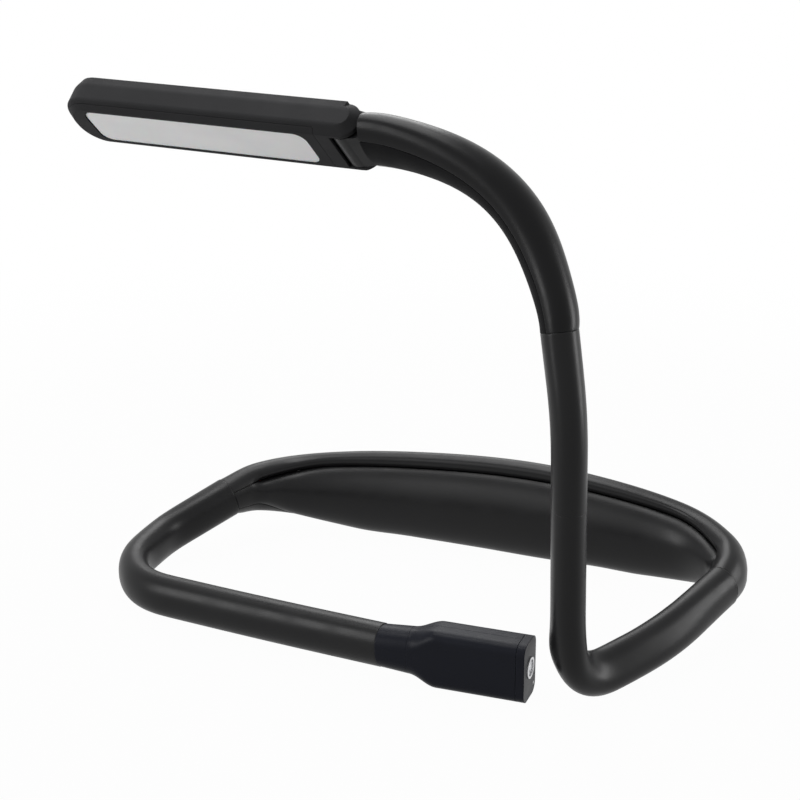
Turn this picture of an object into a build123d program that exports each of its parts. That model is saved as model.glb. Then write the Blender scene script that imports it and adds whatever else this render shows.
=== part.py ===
from build123d import *
import math
import os

# Neck reading light: a padded neck band, two flexible necks, a torch pod on the left one
# and a curved arm with a flat lamp head on the right one. Millimetres, +Z up, resting on
# the plane Z = 0, with the origin under the middle of the whole light.

# Flexible necks: a soft sleeve over a hollow steel core with the wires inside
sleeve_r = 5.6
sleeve_wall = 2.2
core_clearance = 0.3
core_wall = 1.3
wire_clearance = 0.3
core_grip = 5.0
clamp_clearance = 0.05
clamp_wall = 0.4
clamp_length = 3.0
clamp_setback = 0.8
bend_share = 0.45
neck_bend_r = 22.0
stem_bend_r = 14.0
collar_bend_r = 40.0
lead_gap = 0.6
lead_run = 3.0

# Route of the left neck, from the band towards the pod, and the pod's free end, short of the foot bend
left_route = [(-70.7, 17.7, 15.8), (-82.2, -3.4, 8.4), (-82.2, -37.9, 5.6), (-25.7, -42.4, 6.5)]
pod_end = (57.59, -43.261, 8.9)
left_flex_before = 24.0
left_flex_after = 28.0

# Route of the right neck, from the band over the foot bend and up the stem to the arm
right_route = [(95.3, 18.7, 15), (86.6, -9.8, 8.9), (68.3, -41.8, 3.5), (66.5, -41.8, 84)]
lower_flex_bottom = 24.0
lower_flex_top = 48.0
upper_flex_bottom = 70.0

# Neck band: its centre line, and its height from end to end
band_route = [(-64.7, 27.6, 16.6), (-51.7, 37.7, 15.6), (-24.7, 43.2, 15.4), (12.3, 45.5, 16.5),
              (48.3, 44.7, 16.8), (76.3, 41.7, 16.4), (90.8, 33.6, 16.2), (95.3, 25.8, 15.9)]
band_end_pull = 0.5
band_heights = [(0.0, 13.0), (0.12, 20.0), (0.26, 28.5), (0.42, 31.8), (0.58, 33.4), (0.73, 29.5),
                (0.87, 23.0), (1.0, 13.0)]
band_stations = 19
band_end_clearance = 0.65
band_mid_thickness = 13.0
band_wall = 1.2
pad_thickness = 1.3
pad_half_angle = 52.0
pad_seam_angle = 2.5
band_left_wire_places = (0.10, 0.18, 0.28)
band_right_wire_places = (0.92, 0.84, 0.76)
spring_start = 0.13
spring_end = 0.87
spring_stations = 15
spring_height = 7.0
spring_thickness = 0.6
spring_clearance = 0.9

# Battery and charge board inside the band
battery_place = 0.53
battery_length = 40.0
battery_height = 18.0
battery_thickness = 4.0
battery_offset = 1.7
battery_corner_r = 1.8
board_thickness = 1.0
charge_board_length = 8.0
charge_board_height = 12.0
charge_board_gap = 0.2

# Arm between the stem and the lamp head
arm_start = (61.6, -37.8, 107)
arm_route = [(55.5, -33, 122.5), (45.1, -29.2, 136.6), (29.3, -26.9, 146), (12.3, -25.2, 149.6)]
arm_stations = 8
arm_start_width = 13.0
arm_end_step = 0.4
arm_start_clearance = 0.35
arm_mid_thickness = 12.8
arm_end_thickness = 10.6
arm_wall = 1.3
arm_seam_start_half_angle = 46.0
arm_seam_end_half_angle = 33.0
arm_seam_gap_angle = 1.5
arm_start_across = (-0.31, 0.88, -0.35)
arm_wire_places = (0.22, 0.40, 0.58, 0.76)

# Lamp head: the middle of its hinge, its heading, and its outline
hinge_point = (-4.2, -23.65, 149.75)
head_yaw = -6.9
head_pitch = 1.4
head_roll = 45.0
head_length = 98.0
head_width = 21.8
head_thickness = 10.5
head_wall = 1.4
head_top_wall = 1.5
head_tip_flat = 1.4
head_rim_rise = 2.2
head_rim_inset = 2.85
head_rim_fillet = 1.2
head_back_rise = 3.0
head_back_inset = 1.05
head_back_fillet = 3.0
heel_clearance = 0.3
heel_back_lip = 4.7
heel_front_lip = 3.0

# Light panel, from the bezel inwards
bezel_from_hinge = 7.6
bezel_thickness = 1.3
bezel_clearance = 0.1
window_from_hinge = 11.6
window_from_tip = 8.7
window_margin = 3.65
window_r = 3.6
diffuser_clearance = 0.1
diffuser_recess = 0.3
diffuser_flange = 1.4
diffuser_flange_thickness = 0.8
tray_height = 3.6
tray_wall = 1.2
led_columns = 10
led_rows = 2
led_size = 2.6
led_height = 0.7
led_margin = 4.0
head_wire_r = 0.7
head_wire_spread = 2.0

# Hinge between the arm and the head
prong_width = 3.7
prong_bevel = 2.4
prong_skin = 1.0
knuckle_inset = 0.1
knuckle_gap = 0.1
washer_thickness = 0.3
washer_r = 3.4
pin_r = 1.25
pin_clearance = 0.05
pin_seat_clearance = 0.02
arm_gap = 0.55
tail_length = 7.0
tail_shoulder = 2.0
tail_height = 4.8

# Pod with the torch, the buttons and the charging socket
pod_yaw = 4.0
pod_height = 17.8
pod_thickness = 11.4
pod_corner_r = 3.0
pod_wall = 1.5
pod_flare_length = 8.5
pod_flare_steps = 4
pod_length = 43.4
collar_length = 8.6
collar_start_wall = 2.15
collar_start_rise = 1.8
collar_end_clearance = 0.45
collar_end_rise = 2.6
collar_flat = 0.4
cap_thickness = 2.4
cap_joint = 0.1
torch_r = 3.1
torch_clearance = 0.05
torch_rise = 0.5
torch_proud = 0.4
torch_depth = 4.4
torch_mouth_r = 2.4
torch_throat_r = 1.1
torch_mouth_depth = 1.2
lens_thickness = 0.8
lens_setback = 0.3
torch_board_clearance = 0.6
torch_led_r = 0.9
pod_board_height = 11.0
pod_board_backing = 2.2
power_button_place = 17.6
button_gap = 0.6
button_r = 2.5
button_clearance = 0.15
button_proud = 0.7
button_travel = 0.4
button_spare_travel = 0.15
button_flange = 0.6
button_flange_thickness = 0.6
button_flange_gap = 0.2
switch_size = 3.6
switch_height = 1.2
socket_gap = 0.6
socket_width = 3.3
socket_length = 9.0
socket_wall = 0.4
socket_back_wall = 0.8
socket_tongue_length = 6.6
socket_tongue_thickness = 0.7
socket_tongue_setback = 0.9
socket_clearance = 0.08
socket_setback = 0.3
charge_light_r = 0.6
charge_light_inset = 1.7
charge_light_height = 2.8

# Core, clamps and what they pass through: the ends of the band, arm and collar
core_r = sleeve_r - sleeve_wall - core_clearance
core_bore_r = core_r - core_wall
wire_r = core_bore_r - wire_clearance
core_seat_r = core_r + clamp_clearance
clamp_r = core_seat_r + clamp_wall
band_end_thickness = 2 * (clamp_r + band_end_clearance + band_wall)
arm_start_thickness = 2 * (clamp_r + arm_start_clearance + arm_wall)
collar_start_thickness = 2 * (core_seat_r + collar_start_wall)
collar_start_height = collar_start_thickness + collar_start_rise
collar_end_thickness = 2 * (clamp_r + collar_end_clearance + pod_wall)
collar_end_height = collar_end_thickness + collar_end_rise
collar_corner_r = (collar_start_thickness - collar_flat) / 2

# What follows the size of the head
arm_end_width = head_width - 2 * arm_end_step
head_tip_r = (head_width - head_tip_flat) / 2
bezel_height = bezel_thickness + bezel_clearance
window_length = head_length - window_from_hinge - window_from_tip
window_width = head_width - 2 * window_margin
knuckle_width = head_width - 2 * (prong_width + washer_thickness + knuckle_gap)
knuckle_r = head_thickness / 2 - knuckle_inset
knuckle_end_half = arm_end_thickness / 2 * math.sqrt(1 - (knuckle_width / arm_end_width) ** 2)
heel_r = knuckle_r + heel_clearance
prong_reach = head_thickness / 2
tail_width = knuckle_width - 2 * tail_shoulder

# What follows the size of the pod and of its buttons
torch_board_r = pod_thickness / 2 - pod_wall - torch_board_clearance
torch_button_place = power_button_place + 2 * (button_r + button_flange) + button_gap
socket_place = torch_button_place + button_r + button_flange + socket_gap + socket_length / 2
charge_light_side = pod_thickness / 2 - charge_light_inset
charge_light_drop = pod_height / 2 - charge_light_height


# Paths and tubes

def bend_radius(before, corner, after):
    """Radius of an arc that takes up most of the shorter run beside a corner."""
    incoming = corner - before
    outgoing = after - corner
    half_turn = math.radians(incoming.get_angle(outgoing)) / 2
    return bend_share * min(incoming.length, outgoing.length) / math.tan(half_turn)


def bend_radii(points):
    corners = [Vector(*point) for point in points]
    return [bend_radius(*corners[i - 1:i + 2]) for i in range(1, len(corners) - 1)]


def rounded_path(points, radii):
    """Straight runs joined by tangent arcs."""
    corners = [Vector(*point) for point in points]
    if not radii:
        return Wire([Line(*corners).edge()])
    return Wire(FilletPolyline(*corners, radius=radii).edges())


def between(start, end, distance):
    """Point on the run from start to end, at a distance from start."""
    first = Vector(*start)
    return first + (Vector(*end) - first).normalized() * distance


def at_height(start, end, height):
    """Point on the run from start to end, at a height above the floor."""
    first = Vector(*start)
    step = Vector(*end) - first
    return first + step * ((height - first.Z) / step.Z)


def tube(path, outer_r, inner_r=0.0):
    """Round tube or rod along a path."""
    plane = Plane(origin=path @ 0, z_dir=path % 0)
    profile = plane * Circle(outer_r)
    if inner_r > 0:
        profile = profile - plane * Circle(inner_r)
    return Solid.sweep(profile.face(), path)


def neck_stretch(parts, side, name, path, core_path=None):
    """Sleeve, core and wires of one stretch; the core's own path may reach past the sleeve's ends."""
    inner_path = core_path or path
    parts[f"{side}_sleeve_{name}"] = tube(path, sleeve_r, sleeve_r - sleeve_wall)
    parts[f"{side}_core_{name}"] = tube(inner_path, core_r, core_bore_r)
    parts[f"{side}_wires_{name}"] = tube(inner_path, wire_r)


def core_clamp(end, before):
    """Crimped ring on the end of a core that reaches past the run's end."""
    start = between(end, before, -clamp_setback)
    stop = between(end, before, -clamp_setback - clamp_length)
    return tube(rounded_path([start, stop], []), clamp_r, core_seat_r)


# Sections across a curved shell

def section_plane(spline, place, across):
    """Plane across a curve, with X to its inner side."""
    tangent = spline % place
    level = across - tangent * across.dot(tangent)
    return Plane(origin=spline @ place, x_dir=tangent.cross(level), z_dir=tangent)


def ring_section(plane, thickness, width, wall, start, end):
    """Part of an elliptical ring, from one angle to another."""
    sweep_angle = end - start
    outer = EllipticalCenterArc((0, 0), thickness / 2, width / 2, start_angle=start, arc_size=sweep_angle)
    inner = EllipticalCenterArc((0, 0), thickness / 2 - wall, width / 2 - wall, start_angle=start,
                                arc_size=sweep_angle)
    joins = [Line(outer @ 1, inner @ 1), Line(inner @ 0, outer @ 0)]
    return plane.location * Wire([outer.edge(), inner.edge()] + [join.edge() for join in joins])


def smooth(share):
    return share * share * (3 - 2 * share)


# Neck band

def band_spline():
    """Centre line of the band, which leaves each neck in the neck's own direction."""
    points = [Vector(*point) for point in [left_route[0]] + band_route + [right_route[0]]]
    left = Vector(*left_route[0]) - Vector(*left_route[1])
    right = Vector(*right_route[1]) - Vector(*right_route[0])
    tangents = [left.normalized(), right.normalized()]
    return Spline(*points, tangents=tangents, tangent_scalars=[band_end_pull, band_end_pull])


def band_plane(spline, place):
    return section_plane(spline, place, Vector(0, 0, 1))


def band_thickness(place):
    return band_end_thickness + (band_mid_thickness - band_end_thickness) * math.sin(math.pi * place)


def band_height(place):
    """Height at a place, between the two listed places around it."""
    for (low, low_height), (high, high_height) in zip(band_heights, band_heights[1:]):
        if place <= high:
            return low_height + (high_height - low_height) * (place - low) / (high - low)
    return band_heights[-1][1]


def spread(start, end, count):
    """Evenly spaced values from start to end."""
    return [start + (end - start) * step / (count - 1) for step in range(count)]


def band_shell(spline, wall, start, end):
    wires = []
    for place in spread(0, 1, band_stations):
        plane = band_plane(spline, place)
        wires.append(ring_section(plane, band_thickness(place), band_height(place), wall, start, end))
    return Solid.make_loft(wires)


def band_spring(spline):
    wires = []
    for place in spread(spring_start, spring_end, spring_stations):
        offset = band_thickness(place) / 2 - band_wall - spring_clearance
        strip = Pos(-offset, 0) * Rectangle(spring_thickness, spring_height)
        wires.append((band_plane(spline, place) * strip).face().outer_wire())
    return Solid.make_loft(wires)


def battery_plane(spline):
    """Frame of the flat battery: X along the band, Y to its outer side, Z up."""
    plane = band_plane(spline, battery_place)
    origin = plane.origin + plane.x_dir * battery_offset
    return Plane(origin=origin, x_dir=plane.z_dir, z_dir=Vector(0, 0, 1))


def lead_wire(end, before, middle, last):
    """Wires that go on from a core's grip, through some points, to a last point."""
    points = [between(end, before, -core_grip), between(end, before, -core_grip - lead_run)] + middle + [last]
    return tube(rounded_path(points, bend_radii(points)), wire_r)


def make_band(parts):
    spline = band_spline()
    parts["band_outer_cover"] = band_shell(spline, band_wall, pad_half_angle, 360 - pad_half_angle)
    pad_edge = pad_half_angle - pad_seam_angle
    parts["band_inner_pad"] = band_shell(spline, pad_thickness, -pad_edge, pad_edge)
    parts["band_spring_strip"] = band_spring(spline)
    plane = battery_plane(spline)
    cell = Box(battery_length, battery_thickness, battery_height)
    parts["battery_cell"] = plane * fillet(cell.edges().filter_by(Axis.Z), battery_corner_r)
    board_x = (battery_length + charge_board_length) / 2 + charge_board_gap
    board = Box(charge_board_length, board_thickness, charge_board_height)
    parts["charge_board"] = plane * Pos(board_x, 0, 0) * board
    cell_end = plane.from_local_coords(Vector(-battery_length / 2 - lead_gap, 0, 0))
    board_end = plane.from_local_coords(Vector(board_x + charge_board_length / 2 + lead_gap, 0, 0))
    left_places = [spline @ place for place in band_left_wire_places]
    right_places = [spline @ place for place in band_right_wire_places]
    left_wire = lead_wire(left_route[0], left_route[1], left_places, cell_end)
    right_wire = lead_wire(right_route[0], right_route[1], right_places, board_end)
    parts["band_wires"] = Compound([left_wire, right_wire])
    clamps = [core_clamp(route[0], route[1]) for route in (left_route, right_route)]
    parts["band_core_clamps"] = Compound(clamps)


# Flexible necks

def make_left_neck(parts):
    band_end, corner_before, corner, run_point = left_route
    neck_end = pod_plane().origin
    flex_start = between(corner, corner_before, left_flex_before)
    flex_end = between(corner, run_point, left_flex_after)
    band_grip = between(band_end, corner_before, -core_grip)
    root_radii = bend_radii([band_end, corner_before, flex_start])
    root = rounded_path([band_end, corner_before, flex_start], root_radii)
    root_core = rounded_path([band_grip, corner_before, flex_start], root_radii)
    neck_stretch(parts, "left", "root", root, root_core)
    neck_stretch(parts, "left", "flex", rounded_path([flex_start, corner, flex_end], [neck_bend_r]))
    front_radii = bend_radii([flex_end, run_point, neck_end])
    front = rounded_path([flex_end, run_point, neck_end], front_radii)
    front_core = rounded_path([flex_end, run_point, neck_end, pod_grip()], front_radii + [collar_bend_r])
    neck_stretch(parts, "left", "front", front, front_core)


def make_right_neck(parts):
    band_end, run_point, corner, stem_top = right_route
    flex_start = at_height(corner, stem_top, lower_flex_bottom)
    flex_end = at_height(corner, stem_top, lower_flex_top)
    upper_start = at_height(corner, stem_top, upper_flex_bottom)
    band_grip = between(band_end, run_point, -core_grip)
    root_radii = bend_radii([band_end, run_point, corner]) + [stem_bend_r]
    root = rounded_path([band_end, run_point, corner, flex_start], root_radii)
    root_core = rounded_path([band_grip, run_point, corner, flex_start], root_radii)
    neck_stretch(parts, "right", "root", root, root_core)
    neck_stretch(parts, "right", "lower_flex", rounded_path([flex_start, flex_end], []))
    neck_stretch(parts, "right", "stem", rounded_path([flex_end, upper_start], []))
    upper_radii = bend_radii([upper_start, stem_top, arm_start])
    upper = rounded_path([upper_start, stem_top, arm_start], upper_radii)
    arm_grip = between(arm_start, stem_top, -core_grip)
    upper_core = rounded_path([upper_start, stem_top, arm_grip], upper_radii)
    neck_stretch(parts, "right", "upper_flex", upper, upper_core)


# Lamp head frame: X from the tip to the hinge, Y across the head, Z to its back

def head_plane():
    yaw, pitch, roll = (math.radians(angle) for angle in (head_yaw, head_pitch, head_roll))
    to_arm = Vector(math.cos(pitch) * math.cos(yaw), math.cos(pitch) * math.sin(yaw), math.sin(pitch))
    level = Vector(-math.sin(yaw), math.cos(yaw), 0)
    across = level * math.cos(roll) - to_arm.cross(level) * math.sin(roll)
    return Plane(origin=Vector(*hinge_point), x_dir=to_arm, z_dir=to_arm.cross(across))


# Arm

def arm_end_x():
    """Where the arm's shells stop, clear of the head's turning prongs."""
    return prong_reach + arm_gap


def arm_spline():
    frame = head_plane()
    end = frame.from_local_coords(Vector(arm_end_x(), 0, 0))
    points = [Vector(*arm_start)] + [Vector(*point) for point in arm_route] + [end]
    start_direction = Vector(*arm_start) - Vector(*right_route[-1])
    return Spline(*points, tangents=[start_direction.normalized(), -frame.x_dir])


def arm_section(spline, place, is_cover):
    """Section of the inner cover, or of the outer shell up to a hairline gap beside that cover."""
    frame = head_plane()
    turn = smooth(place)
    across = Vector(*arm_start_across) * (1 - turn) + frame.y_dir * turn
    width = arm_start_width + (arm_end_width - arm_start_width) * turn
    level = arm_start_thickness + (arm_end_thickness - arm_start_thickness) * place
    swell = (arm_mid_thickness - (arm_start_thickness + arm_end_thickness) / 2) * math.sin(math.pi * place)
    plane = section_plane(spline, place, across)
    edge = arm_seam_start_half_angle + (arm_seam_end_half_angle - arm_seam_start_half_angle) * turn
    cover_edge = edge - arm_seam_gap_angle
    start, end = (-cover_edge, cover_edge) if is_cover else (edge, 360 - edge)
    return ring_section(plane, level + swell, width, arm_wall, start, end)


def arm_shell(spline, is_cover):
    places = spread(0, 1, arm_stations)
    return Solid.make_loft([arm_section(spline, place, is_cover) for place in places])


def hinge_knuckle(frame):
    """Barrel between the prongs, a block that tapers to the arm's end and a tail inside the arm's shells."""
    barrel = Rot(90, 0, 0) * Cylinder(knuckle_r, knuckle_width)
    block_end = arm_end_x() - knuckle_gap
    corners = [(0, -knuckle_r), (block_end, -knuckle_end_half), (block_end, knuckle_end_half), (0, knuckle_r)]
    block = extrude(Plane.XZ * Polygon(*corners, align=None), knuckle_width / 2, both=True)
    tail_end = block_end + tail_length
    tail = Pos(tail_end / 2, 0, 0) * Box(tail_end, tail_width, tail_height)
    bore = Rot(90, 0, 0) * Cylinder(pin_r + pin_clearance, 2 * knuckle_width)
    return frame * (barrel + block + tail - bore)


def make_arm(parts):
    spline = arm_spline()
    frame = head_plane()
    parts["arm_outer_shell"] = arm_shell(spline, False)
    parts["arm_inner_cover"] = arm_shell(spline, True)
    parts["arm_core_clamp"] = core_clamp(arm_start, right_route[-1])
    parts["hinge_knuckle"] = hinge_knuckle(frame)
    tail_x = arm_end_x() - knuckle_gap + tail_length + lead_gap
    last = frame.from_local_coords(Vector(tail_x, 0, 0))
    middle = [spline @ place for place in arm_wire_places]
    parts["arm_wires"] = lead_wire(arm_start, right_route[-1], middle, last)


# Lamp head

def head_outline(end_x, inset):
    """Outline from the rounded tip to an end on the hinge's side, moved inwards by an inset."""
    length = head_length + end_x - 2 * inset
    middle = (end_x - head_length) / 2
    outline = Pos(middle, 0) * Rectangle(length, head_width - 2 * inset)
    tip = outline.vertices().group_by(Axis.X)[0]
    return fillet(tip, head_tip_r - inset)


def layer(sketch, bottom, height):
    return Pos(0, 0, bottom) * extrude(sketch, height)


def bevelled_layer(bottom, bottom_inset, top, top_inset):
    """Layer of the head whose outline moves inwards or outwards on its way up."""
    outlines = [Pos(0, 0, bottom) * head_outline(prong_reach, bottom_inset),
                Pos(0, 0, top) * head_outline(prong_reach, top_inset)]
    return Solid.make_loft([outline.face().outer_wire() for outline in outlines], True)


def edges_at(body, height):
    return [edge for edge in body.edges() if abs(edge.center().Z - height) < 0.01 and edge.length > 0.01]


def head_ends():
    """What the head keeps at the hinge: all of it up to the pin, and past the pin two round bevelled ends."""
    half = head_thickness / 2
    barrel = Rot(90, 0, 0) * Cylinder(half, head_width)
    barrel = chamfer(barrel.edges().filter_by(GeomType.CIRCLE), prong_bevel)
    return barrel + Pos(-head_length / 2, 0, 0) * Box(head_length, head_width, head_thickness)


def head_body():
    """The whole head as one solid: upright walls, a bevelled rim at the front and a bevelled back."""
    half = head_thickness / 2
    rim_edge = head_rim_rise - half
    back_edge = half - head_back_rise
    body = bevelled_layer(-half, head_rim_inset, rim_edge, 0)
    body += layer(head_outline(prong_reach, 0), rim_edge, back_edge - rim_edge)
    body += bevelled_layer(back_edge, 0, half, head_back_inset)
    body = fillet(edges_at(body, rim_edge), head_rim_fillet)
    body = fillet(edges_at(body, back_edge), head_back_fillet)
    return body & head_ends()


def bezel_room(clearance):
    """Room for the bezel at the front of the head, less a clearance at its top and at the hinge's end."""
    length = head_length - bezel_from_hinge - clearance
    room = Box(length, head_width, bezel_height, align=(Align.MIN, Align.CENTER, Align.MIN))
    return Pos(-head_length, 0, -head_thickness / 2 - clearance) * room


def head_top_shell():
    """Back shell with its walls, open to the front, with a fork for the hinge."""
    half = head_thickness / 2
    body = head_body() - bezel_room(0)
    room_top = half - head_top_wall
    room_bottom = bezel_height - half
    body -= layer(head_outline(-heel_r, head_wall), room_bottom, room_top - room_bottom)
    slot_width = head_width - 2 * prong_width
    for lip, side in ((heel_back_lip, Align.MIN), (heel_front_lip, Align.MAX)):
        slot = Box(lip + 2 * prong_reach, slot_width, head_thickness, align=(Align.MIN, Align.CENTER, side))
        body -= Pos(-lip, 0, 0) * slot
    body -= Rot(90, 0, 0) * Cylinder(heel_r, slot_width)
    seat_width = head_width - 2 * prong_skin
    return body - Rot(90, 0, 0) * Cylinder(pin_r + pin_seat_clearance, seat_width)


def window_middle():
    return -window_from_hinge - window_length / 2


def window_sketch(grow):
    size = (window_length + 2 * grow, window_width + 2 * grow)
    return Pos(window_middle(), 0) * RectangleRounded(*size, window_r + grow)


def make_light_panel(parts, frame):
    """Layers from the bezel at the front to the heat strip at the back."""
    front = -head_thickness / 2
    inside = front + bezel_thickness
    opening = layer(window_sketch(0), front, bezel_thickness)
    parts["head_bezel"] = frame * ((head_body() & bezel_room(bezel_clearance)) - opening)
    pane = layer(window_sketch(-diffuser_clearance), front + diffuser_recess, bezel_thickness)
    flange = layer(window_sketch(diffuser_flange), inside, diffuser_flange_thickness)
    parts["diffuser"] = frame * (pane + flange)
    tray_bottom = inside + diffuser_flange_thickness
    walls = window_sketch(diffuser_flange) - window_sketch(diffuser_flange - tray_wall)
    parts["reflector_tray"] = frame * layer(walls, tray_bottom, tray_height)
    board_bottom = tray_bottom + tray_height
    parts["led_board"] = frame * layer(window_sketch(diffuser_flange), board_bottom, board_thickness)
    leds = []
    for column in range(led_columns):
        for row in range(led_rows):
            x = window_middle() + (window_length - 2 * led_margin) * (column / (led_columns - 1) - 0.5)
            y = (window_width - 2 * led_margin) * (row / (led_rows - 1) - 0.5)
            led = Pos(x, y, board_bottom - led_height / 2) * Box(led_size, led_size, led_height)
            leds.append(frame * led)
    parts["leds"] = Compound(leds)
    strip_bottom = board_bottom + board_thickness
    strip_height = head_thickness / 2 - head_top_wall - strip_bottom
    parts["heat_strip"] = frame * layer(window_sketch(0), strip_bottom, strip_height)


def make_head(parts):
    frame = head_plane()
    parts["head_top_shell"] = frame * head_top_shell()
    make_light_panel(parts, frame)
    across = frame * Rot(90, 0, 0)
    parts["hinge_pin"] = across * Cylinder(pin_r, head_width - 2 * prong_skin)
    washer = Cylinder(washer_r, washer_thickness) - Cylinder(pin_r + pin_clearance, washer_thickness)
    washer_y = head_width / 2 - prong_width - washer_thickness / 2
    washers = [across * Pos(0, 0, side * washer_y) * washer for side in (-1, 1)]
    parts["hinge_washers"] = Compound(washers)
    board_end = window_middle() + window_length / 2 + diffuser_flange
    wall_x = -heel_r - head_wall
    wires = []
    for side in (-1, 1):
        y = side * head_wire_spread
        points = [frame.from_local_coords(Vector(x, y, 0)) for x in (board_end, wall_x)]
        wires.append(tube(rounded_path(points, []), head_wire_r))
    parts["head_wires"] = Compound(wires)


# Pod frame: X along the pod from the end of the left neck, Y to the pod's back, Z up

def pod_plane():
    yaw = math.radians(pod_yaw)
    heading = Vector(math.cos(yaw), math.sin(yaw), 0)
    return Plane(origin=Vector(*pod_end) - heading * pod_length, x_dir=heading, z_dir=Vector(0, 0, 1))


def pod_grip():
    """End of the left core, past the collar on the pod's axis."""
    return pod_plane().from_local_coords(Vector(collar_length + core_grip, 0, 0))


def pod_section(x, thickness, height, corner_r):
    plane = Plane(origin=(x, 0, 0), x_dir=(0, 1, 0), z_dir=(1, 0, 0))
    return plane * RectangleRounded(thickness, height, corner_r)


def pod_volume(inset):
    """Pod body as a solid: a flared stretch from the collar and a straight one."""
    wires = []
    for step in range(pod_flare_steps):
        share = step / (pod_flare_steps - 1)
        grow = smooth(share)
        thickness = collar_end_thickness + (pod_thickness - collar_end_thickness) * grow
        height = collar_end_height + (pod_height - collar_end_height) * grow
        corner_r = collar_corner_r + (pod_corner_r - collar_corner_r) * grow
        section = pod_section(collar_length + pod_flare_length * share, thickness - 2 * inset,
                              height - 2 * inset, corner_r - inset)
        wires.append(section.face().outer_wire())
    flare = Solid.make_loft(wires)
    full = pod_section(collar_length + pod_flare_length, pod_thickness - 2 * inset, pod_height - 2 * inset,
                       pod_corner_r - inset)
    return flare + extrude(full, shell_end() - collar_length - pod_flare_length)


def shell_end():
    """Where the pod's two half shells stop, just short of the end cap."""
    return pod_length - cap_thickness - cap_joint


def pod_collar(frame):
    """Ferrule past the end of the neck, turned from the neck's heading to the pod's."""
    end = frame.origin
    heading = end - Vector(*left_route[-1])
    up = Vector(0, 0, 1)
    first_plane = Plane(origin=end, x_dir=up.cross(heading), z_dir=heading)
    first = first_plane * RectangleRounded(collar_start_thickness, collar_start_height, collar_corner_r)
    last = frame * pod_section(collar_length, collar_end_thickness, collar_end_height, collar_corner_r)
    body = Solid.make_loft([first.face().outer_wire(), last.face().outer_wire()])
    bore_start = between(end, left_route[-1], collar_length)
    bore = rounded_path([bore_start, end, pod_grip()], [collar_bend_r])
    return body - tube(bore, core_seat_r)


def pod_core_clamp():
    """Crimped ring on the core, just past the collar and inside the pod."""
    frame = pod_plane()
    ends = [frame.from_local_coords(Vector(x, 0, 0)) for x in (collar_length, 0)]
    return core_clamp(*ends)


def pod_shells(frame):
    """Front half and back half, the back one with the holes for the buttons and the socket."""
    hollow = pod_volume(0) - pod_volume(pod_wall)
    size = 4 * pod_height
    front = hollow & Pos(size / 2, -size / 2, 0) * Box(size, size, size)
    back = hollow & Pos(size / 2, size / 2, 0) * Box(size, size, size)
    for place in (power_button_place, torch_button_place):
        back -= Pos(place, size / 2, 0) * Rot(90, 0, 0) * Cylinder(button_r + button_clearance, size)
    slot = (socket_length + 2 * socket_clearance, size, socket_width + 2 * socket_clearance)
    back -= Pos(socket_place, size / 2, 0) * Box(*slot)
    return frame * front, frame * back


def cap_hole(y, z, radius):
    """Rod along the pod through the end cap, to cut a hole with or to fill one."""
    middle = pod_length - cap_thickness / 2
    return Pos(middle, y, z) * Rot(0, 90, 0) * Cylinder(radius, cap_thickness)


def end_cap():
    section = pod_section(pod_length - cap_thickness, pod_thickness, pod_height, pod_corner_r)
    cap = extrude(section, cap_thickness) - cap_hole(0, torch_rise, torch_r + torch_clearance)
    return cap - cap_hole(charge_light_side, -charge_light_drop, charge_light_r + torch_clearance)


def torch_back():
    return pod_length + torch_proud - torch_depth


def make_torch(parts, frame):
    """Reflector cup, lens and board behind the end cap; the cup is drawn about its own axis."""
    front = pod_length + torch_proud
    mouth = front - torch_mouth_depth
    back = torch_back()
    points = [(back, torch_throat_r), (mouth, torch_mouth_r), (front, torch_mouth_r), (front, torch_r),
              (back, torch_r)]
    axis = Axis((0, 0, 0), (1, 0, 0))
    cup = revolve(Plane.XY * Polygon(*points, align=None), axis)
    lift = frame * Pos(0, 0, torch_rise)
    parts["torch_reflector"] = lift * cup
    lens_x = front - lens_setback - lens_thickness / 2
    lens = Pos(lens_x, 0, 0) * Rot(0, 90, 0) * Cylinder(torch_mouth_r, lens_thickness)
    parts["torch_lens"] = lift * lens
    board = Pos(back - board_thickness / 2, 0, 0) * Rot(0, 90, 0) * Cylinder(torch_board_r, board_thickness)
    parts["torch_board"] = lift * (board + Pos(back, 0, 0) * Sphere(torch_led_r))


def button(place):
    """Round key from its proud face down to just above its switch, with a retaining flange."""
    face = pod_thickness / 2 + button_proud
    foot = switch_top() + button_travel + button_spare_travel
    stem = Pos(place, (face + foot) / 2, 0) * Rot(90, 0, 0) * Cylinder(button_r, face - foot)
    flange_top = pod_thickness / 2 - pod_wall - button_flange_gap
    flange_y = flange_top - button_flange_thickness / 2
    flange = Rot(90, 0, 0) * Cylinder(button_r + button_flange, button_flange_thickness)
    return stem + Pos(place, flange_y, 0) * flange


def board_face():
    """Back face of the pod's board, where the socket and the switches stand."""
    return pod_wall + pod_board_backing + board_thickness - pod_thickness / 2


def switch_top():
    return board_face() + switch_height


def charging_socket():
    """Socket on the board, open to the back, with its tongue."""
    mouth = pod_thickness / 2 - socket_setback
    depth = mouth - board_face()
    socket = Pos(0, mouth - depth / 2, 0) * Box(socket_length, depth, socket_width)
    hollow = depth - socket_back_wall
    inside = Box(socket_length - 2 * socket_wall, hollow, socket_width - 2 * socket_wall)
    socket -= Pos(0, mouth - hollow / 2, 0) * inside
    tongue_depth = depth - socket_tongue_setback
    tongue = Box(socket_tongue_length, tongue_depth, socket_tongue_thickness)
    socket += Pos(0, board_face() + tongue_depth / 2, 0) * tongue
    return Pos(socket_place, 0, 0) * socket


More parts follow.
